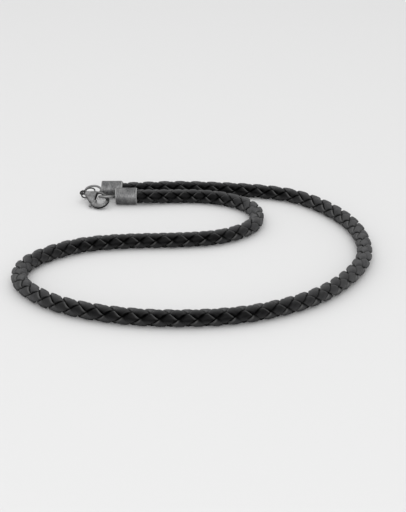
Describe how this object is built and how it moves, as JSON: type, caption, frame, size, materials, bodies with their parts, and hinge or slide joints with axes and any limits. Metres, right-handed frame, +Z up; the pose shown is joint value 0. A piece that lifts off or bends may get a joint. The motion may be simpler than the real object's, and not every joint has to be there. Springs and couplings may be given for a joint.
{
  "type": "leather cord necklace",
  "caption": "Black braided leather cord necklace with cylindrical metal end caps, wire loops and a lobster claw clasp, closed and lying flat.",
  "frame": {"origin": "middle of the necklace's outline on the surface it lies on", "axes": "+Z up from the surface, +X along the end caps towards the bend of the braid, +Y from the viewer's side to the far side"},
  "size_m": [0.1323, 0.1295, 0.007],
  "materials": {
    "black_leather": "satin",
    "dark_silver": "brushed, darkened",
    "grey_silver": "satin"
  },
  "bodies": {
    "necklace": {"strand_1": "black_leather", "strand_2": "black_leather", "strand_3": "black_leather", "strand_4": "black_leather", "strand_5": "black_leather", "strand_6": "black_leather", "front_end_cap": "dark_silver", "rear_end_cap": "dark_silver", "connecting_ring": "dark_silver", "clasp_body": "grey_silver", "clasp_pin": "grey_silver"},
    "lever": {"clasp_lever": "grey_silver"}
  },
  "joints": [
    {"name": "clasp_lever_hinge", "type": "hinge", "parent": "necklace", "child": "lever", "pos_m": [-0.04373, 0.05116, 0.00409], "axis": [0.1897, 0.4002, -0.8966], "range_deg": [0, 14], "stiffness_Nm_per_rad": 0.01}
  ]
}
